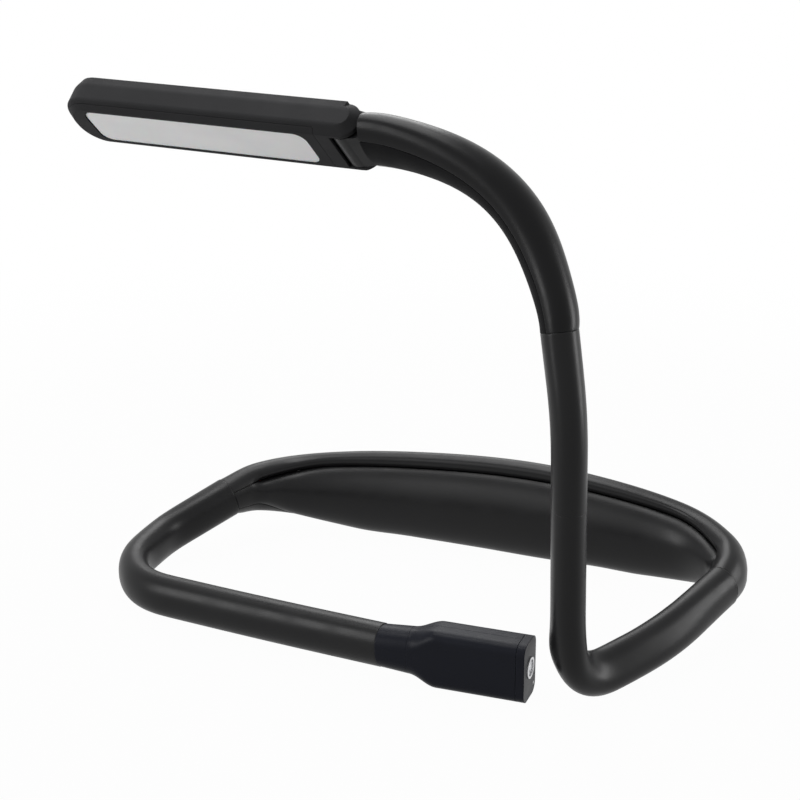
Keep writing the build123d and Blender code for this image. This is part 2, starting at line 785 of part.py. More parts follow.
def make_pod_inside(parts, frame):
    start = collar_length + core_grip + lead_gap
    end = torch_back() - board_thickness - lead_gap
    board = Pos((start + end) / 2, board_face() - board_thickness / 2, 0)
    parts["control_board"] = frame * board * Box(end - start, board_thickness, pod_board_height)
    switches = []
    for place in (power_button_place, torch_button_place):
        switch = Pos(place, board_face() + switch_height / 2, 0) * Box(switch_size, switch_height, switch_size)
        switches.append(frame * switch)
    parts["tact_switches"] = Compound(switches)
    parts["charging_socket"] = frame * charging_socket()


def make_pod(parts):
    frame = pod_plane()
    parts["pod_collar"] = pod_collar(frame)
    parts["pod_core_clamp"] = pod_core_clamp()
    parts["pod_front_shell"], parts["pod_back_shell"] = pod_shells(frame)
    parts["pod_end_cap"] = frame * end_cap()
    make_torch(parts, frame)
    parts["charge_light"] = frame * cap_hole(charge_light_side, -charge_light_drop, charge_light_r)
    parts["power_button"] = frame * button(power_button_place)
    parts["torch_button"] = frame * button(torch_button_place)
    make_pod_inside(parts, frame)


def write(parts):
    os.makedirs("parts", exist_ok=True)
    for name, shape in parts.items():
        export_step(shape, f"parts/{name}.step")


parts = {}
make_band(parts)
make_left_neck(parts)
make_right_neck(parts)
make_arm(parts)
make_head(parts)
make_pod(parts)
write(parts)
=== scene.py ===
import math

import bpy
import numpy as np
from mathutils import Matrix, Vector


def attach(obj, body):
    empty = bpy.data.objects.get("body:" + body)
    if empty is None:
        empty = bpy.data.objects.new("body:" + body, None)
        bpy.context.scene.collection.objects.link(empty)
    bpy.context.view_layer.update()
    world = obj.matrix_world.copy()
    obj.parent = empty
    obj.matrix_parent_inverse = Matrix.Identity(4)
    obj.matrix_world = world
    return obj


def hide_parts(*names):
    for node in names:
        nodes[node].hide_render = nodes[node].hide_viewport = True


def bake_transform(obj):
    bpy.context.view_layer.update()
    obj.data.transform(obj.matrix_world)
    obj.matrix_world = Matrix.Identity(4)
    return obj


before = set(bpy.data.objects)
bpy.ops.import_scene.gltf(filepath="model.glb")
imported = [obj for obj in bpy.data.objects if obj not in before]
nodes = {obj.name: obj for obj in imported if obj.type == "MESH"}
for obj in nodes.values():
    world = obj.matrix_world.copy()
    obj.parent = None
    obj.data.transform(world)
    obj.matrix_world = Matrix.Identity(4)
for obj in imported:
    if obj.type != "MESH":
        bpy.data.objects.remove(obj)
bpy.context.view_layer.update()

# Looks of a neck reading light. Sizes are in millimetres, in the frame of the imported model.
MM = 0.001

# Oval sleeves of the two necks, and the steel core and wires inside them
SLEEVE_HALF_HEIGHT = 6.5
SLEEVE_HALF_WIDTH = 4.85
SLEEVE_END_HALF_WIDTH = 5.3
SLEEVE_WALL = 1.45
SLEEVE_SQUARENESS = 2.25
SLEEVE_STEP = 1.2
SLEEVE_ARM_NARROWING = 0.1
SLEEVE_LIP = 0.35
LIP_SHARES = (0.05, 0.12, 0.25, 0.45)
SLEEVE_SIDES = 48
CORE_R = 3.1
CORE_BORE_R = 1.8
WIRE_R = 1.5
WIRE_BORE_SHARE = 0.1
CORE_GRIP = 5.0
CORE_SQUARENESS = 2.0
CORE_SIDES = 24
BEND_SHARE = 0.45
NECK_BEND_R = 22.0
FOOT_BEND_R = 12.5

# Routes of the necks as the model has them, and how far the oval's middle stands above the round one's
LEFT_ROUTE = [(-70.7, 17.7, 15.8), (-82.2, -3.4, 8.4), (-82.2, -37.9, 5.6), (-25.7, -42.4, 6.5),
              (14.3, -46.29, 8.9)]
LEFT_LIFT = [0.0, 0.5, 1.0, 0.8, 0.0]
LEFT_FLEX_BEFORE = 24.0
LEFT_FLEX_AFTER = 28.0
LEFT_SOFTNESS = 10
LEFT_WIDTH_SHARES = [0, 0.2, 1]
RIGHT_ROUTE = [(95.3, 18.7, 15), (86.6, -9.8, 8.9), (68.3, -41.8, 3.5), (66.5, -41.8, 84),
               (61.6, -37.8, 107)]
RIGHT_LIFT = [0.0, 0.0, 0.5, 0.0, 0.0]
RIGHT_SOFTNESS = 6
RIGHT_WIDTH_SHARES = [0, 0.15, 0.7, 1]
LOWER_FLEX = (24.0, 48.0)
UPPER_FLEX_BOTTOM = 70.0
STEM_SPLIT = 59.0

# Directions of the oval's longer half along the necks, and the places of the foot bend where they change
UPRIGHT = (0, 0, 1)
APPROACH_WIDE = (-0.4, 0.2, 0.9)
FOOT_WIDE = (-0.615, 0.346, 0.707)
STEM_WIDE = (-0.407, 0.914, 0)
ARM_WIDE = (-0.313, 0.882, -0.353)
FOOT_PLACE = (68.3, -41.8, 8)
STEM_PLACE = (66.9, -41.8, 30)
APPROACH_SHARE = 0.6
STEM_TOP_SHARE = 0.75

# Round tubes: the direction that their rings start from, for a flat run and for a steep one
FLAT_START = (0.3, 0.2, 0.93)
STEEP_START = (0.93, 0.3, 0.2)
STEEP = 0.7

# Band: its centre line, its height along the way, and the pad on its inner side
BAND_ROUTE = [(-64.7, 27.6, 16.6), (-51.7, 37.7, 15.6), (-24.7, 43.2, 15.4), (12.3, 45.5, 16.5),
              (48.3, 44.7, 16.8), (76.3, 41.7, 16.4), (90.8, 33.6, 16.2), (95.3, 25.8, 15.9)]
BAND_PLACES = [0.0, 0.12, 0.26, 0.42, 0.58, 0.73, 0.87, 1.0]
BAND_HEIGHTS = [13.0, 20.0, 28.5, 31.8, 33.4, 29.5, 23.0, 13.0]
BAND_STATIONS = 150
BAND_END_THICKNESS = 10.6
BAND_MID_THICKNESS = 13.0
BAND_WALL = 1.3
CURVE_POINTS = 40
DIRECTION_SOFTNESS = 12
COVER_POINTS = 64
COVER_CROWDING = -0.25
PAD_POINTS = 44
PAD_UPPER_ANGLE = 50.0
PAD_LOWER_ANGLE = 100.0
PAD_END_ANGLE = 30.0
PAD_TAPER = 0.16
GROOVE_START = 0.035
GROOVE_FADE = 0.03
LOWER_GROOVE_START = 0.24
LOWER_GROOVE_FADE = 0.1
HEIGHT_PLACES = 400
HEIGHT_SOFTNESS = 900
PAD_GAP_ANGLE = 2.0
PAD_BACK = 3.0
PAD_CROWN = 0.9
PAD_SHOULDER = 2.4
GROOVE_DEPTH = 2.3
GROOVE_BACKING = 0.7
LIP_ANGLE = 20.0
LIP_CURVE = 2.6

# Materials: noise scales per metre, the part of a noise that is used, and how edges and gloss vary
PATCH_SCALE = 60.0
SMUDGE_SCALE = 140.0
SCRATCH_SCALE = 900.0
NOISE_RANGE = (0.3, 0.7)
EDGE_RANGE = (0.995, 0.80)
SCUFF_RANGE = (0.1, 0.9)
WORN_LIFT = 0.003
GLOSS_SPREAD = 0.05
SCRATCH_GLOSS = (-0.08, 0.1)
SHARP_ANGLE = 40.0

# Studio: the floor's size and look, its whiteness near the object, its shadow's reach, and the room's light
FLOOR_SIZE = 12000
FLOOR_ROUGHNESS = 0.9
FLOOR_COLOUR = 0.3
NEAR_WHITENESS = 0.975
SHADOW_REACH = (180.0, 420.0)
ROOM_LIGHT = 0.2

# Lamps: place, target, width and height, and power
LAMPS = {
    "overhead": ((-110, -10, 500), (0, 0, 80), (320, 240), 1.6),
    "front_left": ((-360, -470, 210), (20, 0, 50), (180, 340), 1.6),
    "back_left": ((-190, 340, 450), (15, -26, 150), (260, 400), 1.4),
    "back_right": ((500, 200, 130), (70, 0, 30), (180, 360), 1.8),
}

# Camera
CAMERA_PLACE = (227.12, -512.95, 270.02)
CAMERA_AZIMUTH = 24.0
CAMERA_ELEVATION = 20.0
CAMERA_LENS = 90.0
CAMERA_SENSOR = 36.0


# Small tools

def array(points):
    return np.array([tuple(point) for point in points], float)


def unit(vectors):
    return vectors / np.linalg.norm(vectors, axis=-1, keepdims=True)


def ease(share):
    share = np.clip(share, 0, 1)
    return share * share * (3 - 2 * share)


def between(start, end, distance):
    """Point on the run from start to end, at a distance from start."""
    first, last = array([start, end])
    return first + unit(last - first) * distance


def at_height(start, end, height):
    """Point on the run from start to end, at a height above the floor."""
    first, last = array([start, end])
    return first + (last - first) * (height - first[2]) / (last[2] - first[2])


def bend_radius(before, corner, after):
    """Radius of an arc that takes up most of the shorter run beside a corner."""
    incoming = Vector(corner) - Vector(before)
    outgoing = Vector(after) - Vector(corner)
    return BEND_SHARE * min(incoming.length, outgoing.length) / math.tan(incoming.angle(outgoing) / 2)


def arc(before, corner, after, radius, step):
    """Points on the arc that rounds a corner."""
    middle = Vector(corner)
    to_before = (Vector(before) - middle).normalized()
    to_after = (Vector(after) - middle).normalized()
    half = to_before.angle(to_after) / 2
    centre = middle + (to_before + to_after).normalized() * (radius / math.sin(half))
    first = middle + to_before * (radius / math.tan(half)) - centre
    last = middle + to_after * (radius / math.tan(half)) - centre
    count = max(4, round(first.angle(last) * radius / step))
    first, last = first.normalized(), last.normalized()
    return [centre + first.slerp(last, place / count) * radius for place in range(count + 1)]


def spaced(points, step):
    """The same line with evenly spaced points."""
    lengths = np.concatenate([[0], np.cumsum(np.linalg.norm(np.diff(points, axis=0), axis=1))])
    places = np.linspace(0, lengths[-1], max(2, round(lengths[-1] / step)) + 1)
    return np.stack([np.interp(places, lengths, points[:, axis]) for axis in range(3)], axis=1)


def rounded_path(corners, radii, step, softness=0):
    """Straight runs joined by arcs, evenly spaced, with each arc eased into its runs."""
    points = [Vector(corners[0])]
    for index, radius in enumerate(radii):
        points += arc(*corners[index:index + 3], radius, step)
    points = spaced(array(points + [Vector(corners[-1])]), step)
    for _ in range(softness):
        points[1:-1] = (points[:-2] + 2 * points[1:-1] + points[2:]) / 4
    return points


def directions(points):
    return unit(np.gradient(points, axis=0))


def catmull(points, count):
    """Smooth curve through points, as evenly spaced points along it."""
    known = array(points)
    ends = [2 * known[0] - known[1]], [2 * known[-1] - known[-2]]
    known = np.concatenate([ends[0], known, ends[1]])
    dense = []
    for index in range(1, len(known) - 2):
        before, first, last, after = known[index - 1:index + 3]
        for share in np.linspace(0, 1, CURVE_POINTS, endpoint=False):
            a = -before + 3 * first - 3 * last + after
            b = 2 * before - 5 * first + 4 * last - after
            dense.append(0.5 * (a * share ** 3 + b * share ** 2 + (last - before) * share + 2 * first))
    dense = array(dense + [known[-2]])
    length = np.linalg.norm(np.diff(dense, axis=0), axis=1).sum()
    return spaced(dense, length / (count - 1))


# Meshes

def make_piece(name, points, faces, material):
    """Piece from points in millimetres, smooth but for its sharp edges."""
    mesh = bpy.data.meshes.new(name)
    mesh.from_pydata([tuple(point * MM) for point in points], [], faces)
    mesh.validate()
    mesh.shade_smooth()
    mesh.set_sharp_from_angle(angle=math.radians(SHARP_ANGLE))
    mesh.materials.append(material)
    piece = bpy.data.objects.new(name, mesh)
    bpy.context.scene.collection.objects.link(piece)
    return piece


def shell(name, outer, inner, closed, material):
    """Walled piece from outer and inner rings of points; an open ring is closed along its two edges."""
    stations, count = outer.shape[:2]
    last = count if closed else count - 1
    points = np.concatenate([outer.reshape(-1, 3), inner.reshape(-1, 3)])
    shift = stations * count
    faces = []
    for station in range(stations - 1):
        for side in range(last):
            here = station * count + side
            beside = station * count + (side + 1) % count
            faces.append((here, beside, beside + count, here + count))
            faces.append((shift + here, shift + here + count, shift + beside + count, shift + beside))
    for side in range(last):
        beside = (side + 1) % count
        end = (stations - 1) * count
        faces.append((side, shift + side, shift + beside, beside))
        faces.append((end + side, end + beside, shift + end + beside, shift + end + side))
    if not closed:
        for station in range(stations - 1):
            for side, turned in ((0, False), (count - 1, True)):
                here = station * count + side
                face = (here, here + count, shift + here + count, shift + here)
                faces.append(face[::-1] if turned else face)
    return make_piece(name, points, faces, material)


def oval(sides, squareness):
    """Unit oval, as cosines and sines pulled a little towards a rectangle."""
    angles = np.arange(sides) / sides * 2 * math.pi
    cosines, sines = np.cos(angles), np.sin(angles)
    power = 2 / squareness
    return np.sign(cosines) * np.abs(cosines) ** power, np.sign(sines) * np.abs(sines) ** power


def rings(points, wide, half_width, half_height, squareness, sides):
    """Oval rings across a line; wide is the direction of their longer half at each point."""
    along = directions(points)
    up = unit(wide - along * (wide * along).sum(axis=1, keepdims=True))
    across = np.cross(up, along)
    cosines, sines = oval(sides, squareness)
    thin = across[:, None, :] * (half_width[:, None] * cosines)[:, :, None]
    tall = up[:, None, :] * (half_height[:, None] * sines)[:, :, None]
    return points[:, None, :] + thin + tall


def keyed(count, shares, values):
    """Values along a piece, eased between the listed shares of its length."""
    values = np.array(values, float)
    places = np.linspace(0, 1, count)
    index = np.clip(np.searchsorted(shares, places, side="right") - 1, 0, len(shares) - 2)
    shares = np.array(shares, float)
    step = ease((places - shares[index]) / (shares[index + 1] - shares[index]))
    if values.ndim > 1:
        step = step[:, None]
    return values[index] * (1 - step) + values[index + 1] * step


# Materials

def node(tree, kind, **settings):
    made = tree.nodes.new(kind)
    for name, value in settings.items():
        setattr(made, name, value)
    return made


def noise(tree, coordinates, scale, detail, stretch=(1, 1, 1)):
    mapping = node(tree, "ShaderNodeMapping")
    mapping.inputs["Scale"].default_value = stretch
    tree.links.new(coordinates, mapping.inputs["Vector"])
    made = node(tree, "ShaderNodeTexNoise")
    made.inputs["Scale"].default_value = scale
    made.inputs["Detail"].default_value = detail
    tree.links.new(mapping.outputs["Vector"], made.inputs["Vector"])
    return made.outputs["Fac"]


def spread_over(tree, source, lowest, highest):
    """Maps a noise around its middle to a range."""
    made = node(tree, "ShaderNodeMapRange")
    made.inputs["From Min"].default_value, made.inputs["From Max"].default_value = NOISE_RANGE
    made.inputs["To Min"].default_value = lowest
    made.inputs["To Max"].default_value = highest
    tree.links.new(source, made.inputs["Value"])
    return made.outputs["Result"]


def mixed(tree, factor, first, second):
    """Colour between two colours, by a factor; each is a colour or another node's output."""
    made = node(tree, "ShaderNodeMix", data_type="RGBA")
    tree.links.new(factor, made.inputs["Factor"])
    for socket, value in ((made.inputs[6], first), (made.inputs[7], second)):
        if isinstance(value, bpy.types.NodeSocket):
            tree.links.new(value, socket)
        else:
            socket.default_value = (*value, 1)
    return made.outputs[2]


def edge_mask(tree, radius):
    """1 on the edges of a moulding and 0 on its faces, from how far a rounded normal leaves the plain one."""
    rounded = node(tree, "ShaderNodeBevel", samples=4)
    rounded.inputs["Radius"].default_value = radius * MM
    plain = node(tree, "ShaderNodeNewGeometry")
    product = node(tree, "ShaderNodeVectorMath", operation="DOT_PRODUCT")
    tree.links.new(rounded.outputs["Normal"], product.inputs[0])
    tree.links.new(plain.outputs["Normal"], product.inputs[1])
    mask = node(tree, "ShaderNodeMapRange")
    mask.inputs["From Min"].default_value, mask.inputs["From Max"].default_value = EDGE_RANGE
    tree.links.new(product.outputs["Value"], mask.inputs["Value"])
    return rounded.outputs["Normal"], mask.outputs["Result"]


def moulded(name, colour, roughness, grain=900.0, relief=0.03, edge=0.35, worn=1.5, mottle=0.12,
            specular=0.18):
    """Moulded plastic or rubber: mottled colour, uneven gloss, a fine grain, and softer, paler edges."""
    material = bpy.data.materials.new(name)
    material.use_nodes = True
    tree = material.node_tree
    shader = tree.nodes["Principled BSDF"]
    place = node(tree, "ShaderNodeTexCoord").outputs["Object"]
    patches = noise(tree, place, PATCH_SCALE, 3.0)
    fine = noise(tree, place, grain, 2.0)
    smudges = noise(tree, place, SMUDGE_SCALE, 5.0)
    dark = [channel * (1 - mottle) for channel in colour]
    pale = [channel * (1 + mottle) for channel in colour]
    worn_colour = [min(1, channel * worn + WORN_LIFT) for channel in colour]
    body = mixed(tree, spread_over(tree, patches, 0, 1), dark, pale)
    normal, mask = edge_mask(tree, edge)
    scuffs = node(tree, "ShaderNodeMath", operation="MULTIPLY")
    tree.links.new(mask, scuffs.inputs[0])
    tree.links.new(spread_over(tree, smudges, *SCUFF_RANGE), scuffs.inputs[1])
    tree.links.new(mixed(tree, scuffs.outputs[0], body, worn_colour), shader.inputs["Base Color"])
    gloss = spread_over(tree, smudges, roughness - GLOSS_SPREAD, roughness + GLOSS_SPREAD)
    tree.links.new(gloss, shader.inputs["Roughness"])
    bump = node(tree, "ShaderNodeBump")
    bump.inputs["Strength"].default_value = 1.0
    bump.inputs["Distance"].default_value = relief * MM
    tree.links.new(fine, bump.inputs["Height"])
    tree.links.new(normal, bump.inputs["Normal"])
    tree.links.new(bump.outputs["Normal"], shader.inputs["Normal"])
    shader.inputs["Specular IOR Level"].default_value = specular
    return material


def metal(name, colour, roughness, stretch=(1, 1, 1), relief=0.01):
    """Metal with drawn or rolled scratches along one direction."""
    material = moulded(name, colour, roughness, grain=700.0, relief=relief, edge=0.15, worn=1.15, mottle=0.08)
    tree = material.node_tree
    shader = tree.nodes["Principled BSDF"]
    shader.inputs["Metallic"].default_value = 1.0
    place = node(tree, "ShaderNodeTexCoord").outputs["Object"]
    scratches = noise(tree, place, SCRATCH_SCALE, 4.0, stretch)
    gloss = spread_over(tree, scratches, *[roughness + change for change in SCRATCH_GLOSS])
    tree.links.new(gloss, shader.inputs["Roughness"])
    return material


sleeve_rubber = moulded("sleeve_rubber", (0.009, 0.009, 0.0095), 0.36, grain=1300.0, relief=0.01, mottle=0.08,
                        specular=0.17)
cover_rubber = moulded("cover_rubber", (0.009, 0.009, 0.0095), 0.34, grain=1300.0, relief=0.01, mottle=0.08,
                       specular=0.2)
pad_rubber = moulded("pad_rubber", (0.007, 0.007, 0.0075), 0.36, grain=1500.0, relief=0.01, mottle=0.1,
                     specular=0.2)
arm_plastic = moulded("arm_plastic", (0.005, 0.005, 0.0055), 0.33, grain=1700.0, relief=0.005, mottle=0.06,
                      specular=0.14)
inner_plastic = moulded("inner_plastic", (0.006, 0.006, 0.0065), 0.6, grain=1700.0, relief=0.01, mottle=0.06,
                        specular=0.05)
head_plastic = moulded("head_plastic", (0.022, 0.022, 0.023), 0.6, grain=1700.0, relief=0.02, mottle=0.06,
                       specular=0.06)
pod_plastic = moulded("pod_plastic", (0.010, 0.011, 0.016), 0.36, grain=2100.0, relief=0.01, mottle=0.06,
                      specular=0.08)
button_plastic = moulded("button_plastic", (0.02, 0.02, 0.022), 0.4, grain=1700.0, relief=0.02)
washer_nylon = moulded("washer_nylon", (0.3, 0.3, 0.3), 0.4)
switch_plastic = moulded("switch_plastic", (0.04, 0.04, 0.04), 0.35)
wire_rubber = moulded("wire_rubber", (0.3, 0.04, 0.03), 0.45)
tray_white = moulded("tray_white", (0.8, 0.8, 0.8), 0.35, worn=1.0)
light_pipe = moulded("light_pipe", (0.75, 0.78, 0.8), 0.15, worn=1.0, specular=0.6)
led_phosphor = moulded("led_phosphor", (0.85, 0.72, 0.25), 0.3, worn=1.0)
solder_mask = moulded("solder_mask", (0.02, 0.13, 0.05), 0.3, grain=500.0, relief=0.05)
white_mask = moulded("white_mask", (0.78, 0.78, 0.76), 0.35, grain=500.0, relief=0.03, worn=1.0)
pouch_foil = moulded("pouch_foil", (0.55, 0.55, 0.57), 0.35, grain=200.0, relief=0.2, worn=1.1)
core_steel = metal("core_steel", (0.5, 0.5, 0.5), 0.35, stretch=(1, 1, 0.1))
spring_steel = metal("spring_steel", (0.55, 0.55, 0.57), 0.3, stretch=(0.1, 1, 1))
hinge_steel = metal("hinge_steel", (0.45, 0.45, 0.46), 0.28, stretch=(0.1, 1, 1))
socket_steel = metal("socket_steel", (0.55, 0.55, 0.57), 0.3)
strip_aluminium = metal("strip_aluminium", (0.6, 0.6, 0.62), 0.35, stretch=(0.1, 1, 1))
chrome = metal("chrome", (0.55, 0.55, 0.56), 0.2, relief=0.002)


def frosted_pane():
    """Frosted white pane in front of the diodes: milky, with a faint grain."""
    material = moulded("frosted_pane", (0.9, 0.9, 0.9), 0.45, grain=1600.0, relief=0.01, mottle=0.03,
                       worn=1.0)
    shader = material.node_tree.nodes["Principled BSDF"]
    shader.inputs["Subsurface Weight"].default_value = 0.15
    shader.inputs["Subsurface Scale"].default_value = 0.001
    return material


def clear_lens():
    """Clear moulded lens with a faint grain."""
    material = moulded("clear_lens", (0.95, 0.96, 0.98), 0.06, grain=300.0, relief=0.01, mottle=0.0, worn=1.0)
    shader = material.node_tree.nodes["Principled BSDF"]
    shader.inputs["Transmission Weight"].default_value = 1.0
    shader.inputs["IOR"].default_value = 1.49
    return material


finishes = {
    "band_spring_strip": spring_steel, "band_core_clamps": core_steel, "band_wires": wire_rubber,
    "battery_cell": pouch_foil, "charge_board": solder_mask,
    "pod_collar": pod_plastic, "pod_core_clamp": core_steel, "pod_front_shell": pod_plastic,
    "pod_back_shell": pod_plastic, "pod_end_cap": pod_plastic, "torch_lens": clear_lens(),
    "torch_reflector": chrome, "torch_board": solder_mask, "control_board": solder_mask,
    "charging_socket": socket_steel, "power_button": button_plastic, "torch_button": button_plastic,
    "tact_switches": switch_plastic, "charge_light": light_pipe,
    "arm_outer_shell": arm_plastic, "arm_inner_cover": inner_plastic, "arm_core_clamp": core_steel,
    "arm_wires": wire_rubber, "hinge_knuckle": arm_plastic, "head_top_shell": head_plastic,
    "head_bezel": head_plastic, "diffuser": frosted_pane(), "reflector_tray": tray_white,
    "led_board": white_mask, "leds": led_phosphor, "heat_strip": strip_aluminium,
    "hinge_pin": hinge_steel, "hinge_washers": washer_nylon, "head_wires": wire_rubber,
}
for name, item in nodes.items():
    finish = finishes.get(name)
    if finish is None:
        finish = core_steel if "_core_" in name else wire_rubber if "_wires_" in name else sleeve_rubber
    item.data.materials.clear()
    item.data.materials.append(finish)


# Necks

def lifted(route, lift):
    return [(x, y, z + rise) for (x, y, z), rise in zip(route, lift)]


def with_lips(points):
    """Adds close points at both ends, where the sleeve's edge is rounded."""
    first = [points[0] + (points[1] - points[0]) * share for share in LIP_SHARES]
    last = [points[-1] + (points[-2] - points[-1]) * share for share in LIP_SHARES[::-1]]
    return np.concatenate([points[:1], first, points[1:-1], last, points[-1:]])


def sleeve_rings(points, wide, half_width):
    """Outer and inner rings of a sleeve, with rounded ends."""
    lengths = np.concatenate([[0], np.cumsum(np.linalg.norm(np.diff(points, axis=0), axis=1))])
    from_end = np.minimum(lengths, lengths[-1] - lengths)
    inset = SLEEVE_LIP * (1 - np.sqrt(1 - np.clip(1 - from_end / SLEEVE_LIP, 0, 1) ** 2))
    half_height = np.full(len(points), SLEEVE_HALF_HEIGHT)
    outer = rings(points, wide, half_width - inset, half_height - inset, SLEEVE_SQUARENESS, SLEEVE_SIDES)
    inner = rings(points, wide, half_width - SLEEVE_WALL, half_height - SLEEVE_WALL, SLEEVE_SQUARENESS,
                  SLEEVE_SIDES)
    return outer, inner


def nearest(points, target):
    return int(np.argmin(np.linalg.norm(points - np.array(target, float), axis=1)))


def ring_tube(name, points, outer_r, inner_r, material):
    """Round tube along a line."""
    steep = abs(directions(points)[len(points) // 2][2]) > STEEP
    wide = np.tile(np.array(STEEP_START if steep else FLAT_START), (len(points), 1))
    size = np.ones(len(points))
    outer = rings(points, wide, outer_r * size, outer_r * size, CORE_SQUARENESS, CORE_SIDES)
    inner = rings(points, wide, inner_r * size, inner_r * size, CORE_SQUARENESS, CORE_SIDES)
    return shell(name, outer, inner, True, material)


def flexible_insides(side, name, path, end):
    """Round core and wires along a stretch of the neck, in place of the model's ones."""
    core = ring_tube(f"{side}_bending_core_{name}", path, CORE_R, CORE_BORE_R, core_steel)
    wires = ring_tube(f"{side}_bending_wires_{name}", path, WIRE_R, WIRE_R * WIRE_BORE_SHARE, wire_rubber)
    for piece, kind, slot in ((core, "core", "core_steel"), (wires, "wires", "wire")):
        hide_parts(f"{side}_{kind}_{name}")
        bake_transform(piece)


def make_left_neck():
    before, corner, run_point = LEFT_ROUTE[1:4]
    start = between(corner, before, LEFT_FLEX_BEFORE)
    end = between(corner, run_point, LEFT_FLEX_AFTER)
    route = lifted(LEFT_ROUTE, LEFT_LIFT)
    radii = [bend_radius(*route[0:2], start), NECK_BEND_R, bend_radius(end, *route[3:5])]
    points = with_lips(rounded_path(route, radii, SLEEVE_STEP, softness=LEFT_SOFTNESS))
    wide = np.tile(np.array(UPRIGHT, float), (len(points), 1))
    half_width = keyed(len(points), LEFT_WIDTH_SHARES,
                       [SLEEVE_END_HALF_WIDTH, SLEEVE_HALF_WIDTH, SLEEVE_HALF_WIDTH])
    outer, inner = sleeve_rings(points, wide, half_width)
    sleeve = shell("left_neck_sleeve", outer, inner, True, sleeve_rubber)
    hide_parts("left_sleeve_root", "left_sleeve_flex", "left_sleeve_front")
    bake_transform(sleeve)
    path = rounded_path([start, corner, end], [NECK_BEND_R], SLEEVE_STEP)
    flexible_insides("left", "flex", path, end)


def make_right_neck():
    route = lifted(RIGHT_ROUTE, RIGHT_LIFT)
    radii = [bend_radius(*route[0:3]), FOOT_BEND_R, bend_radius(*RIGHT_ROUTE[2:5])]
    points = with_lips(rounded_path(route, radii, SLEEVE_STEP, softness=RIGHT_SOFTNESS))
    count = len(points)
    foot, stem = [nearest(points, place) / (count - 1) for place in (FOOT_PLACE, STEM_PLACE)]
    wide = keyed(count, [0, APPROACH_SHARE * foot, foot, stem, STEM_TOP_SHARE, 1],
                 [UPRIGHT, APPROACH_WIDE, FOOT_WIDE, STEM_WIDE, STEM_WIDE, ARM_WIDE])
    half_width = keyed(count, RIGHT_WIDTH_SHARES,
                       [SLEEVE_END_HALF_WIDTH, SLEEVE_HALF_WIDTH, SLEEVE_HALF_WIDTH,
                        SLEEVE_END_HALF_WIDTH - SLEEVE_ARM_NARROWING])
    outer, inner = sleeve_rings(points, wide, half_width)
    split = nearest(points, at_height(*RIGHT_ROUTE[2:4], STEM_SPLIT))
    lower = shell("right_neck_sleeve_lower", outer[:split + 1], inner[:split + 1], True, sleeve_rubber)
    upper = shell("right_neck_sleeve_upper", outer[split:], inner[split:], True, sleeve_rubber)
    corner, stem_top, arm_start = RIGHT_ROUTE[2:]
    lower_start, lower_end = [at_height(corner, stem_top, height) for height in LOWER_FLEX]
    upper_start = at_height(corner, stem_top, UPPER_FLEX_BOTTOM)
    arm_end = np.array(arm_start, float)
    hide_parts("right_sleeve_root", "right_sleeve_lower_flex")
    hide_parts("right_sleeve_stem", "right_sleeve_upper_flex")
    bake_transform(lower)
    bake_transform(upper)
    lower_path = spaced(array([lower_start, lower_end]), SLEEVE_STEP)
    flexible_insides("right", "lower_flex", lower_path, lower_end)
    grip = between(arm_start, stem_top, -CORE_GRIP)
    upper_path = rounded_path([upper_start, stem_top, grip], [bend_radius(upper_start, stem_top, arm_start)],
                              SLEEVE_STEP)
    flexible_insides("right", "upper_flex", upper_path, arm_end)


# Band

def band_line():
    """Centre line of the band with the direction to its inner side at each point."""
    route = [LEFT_ROUTE[0]] + BAND_ROUTE + [RIGHT_ROUTE[0]]
    points = catmull(route, BAND_STATIONS)
    along = directions(points)
    along[0] = unit(np.subtract(LEFT_ROUTE[0], LEFT_ROUTE[1]))
    along[-1] = unit(np.subtract(RIGHT_ROUTE[1], RIGHT_ROUTE[0]))
    for _ in range(DIRECTION_SOFTNESS):
        along[1:-1] = unit(along[:-2] + 2 * along[1:-1] + along[2:])
    up = unit(np.array([0, 0, 1.0]) - along * along[:, 2:])
    return points, np.cross(along, up), up


def band_surface(places, angles, offsets):
    """Points on the band's oval surface at some angles from its inner middle, moved out by offsets."""
    points, inward, up = band_line()
    index, known = places * (len(points) - 1), np.arange(len(points))
    points, inward, up = [np.stack([np.interp(index, known, column) for column in part.T], axis=1)
                          for part in (points, inward, up)]
    half_height = np.interp(places, np.linspace(0, 1, HEIGHT_PLACES), smooth_heights()) / 2
    swell = (BAND_MID_THICKNESS - BAND_END_THICKNESS) * np.sin(math.pi * places)
    half_width = (BAND_END_THICKNESS + swell) / 2
    cosines, sines = np.cos(angles), np.sin(angles)
    width = half_width[:, None] * cosines
    height = half_height[:, None] * sines
    normal_x = cosines / half_width[:, None]
    normal_y = sines / half_height[:, None]
    size = np.sqrt(normal_x ** 2 + normal_y ** 2)
    width = width + offsets * normal_x / size
    height = height + offsets * normal_y / size
    return points[:, None, :] + inward[:, None, :] * width[:, :, None] + up[:, None, :] * height[:, :, None]


def smooth_heights():
    """Band height at even places, with the corners of the list rounded."""
    heights = np.interp(np.linspace(0, 1, HEIGHT_PLACES), BAND_PLACES, BAND_HEIGHTS)
    for _ in range(HEIGHT_SOFTNESS):
        heights[1:-1] = (heights[:-2] + 2 * heights[1:-1] + heights[2:]) / 4
    return heights


def pad_angles(places, full):
    """How far the pad reaches up or down round the band, which narrows towards its two ends."""
    from_end = np.minimum(places, 1 - places)
    share = ease((from_end - GROOVE_START) / PAD_TAPER)
    return np.radians(PAD_END_ANGLE + (full - PAD_END_ANGLE) * share)


def groove_share(places, start, fade):
    """0 near the band's two ends, where pad and cover are flush, and 1 where a groove parts them."""
    return ease((np.minimum(places, 1 - places) - start) / fade)[:, None]


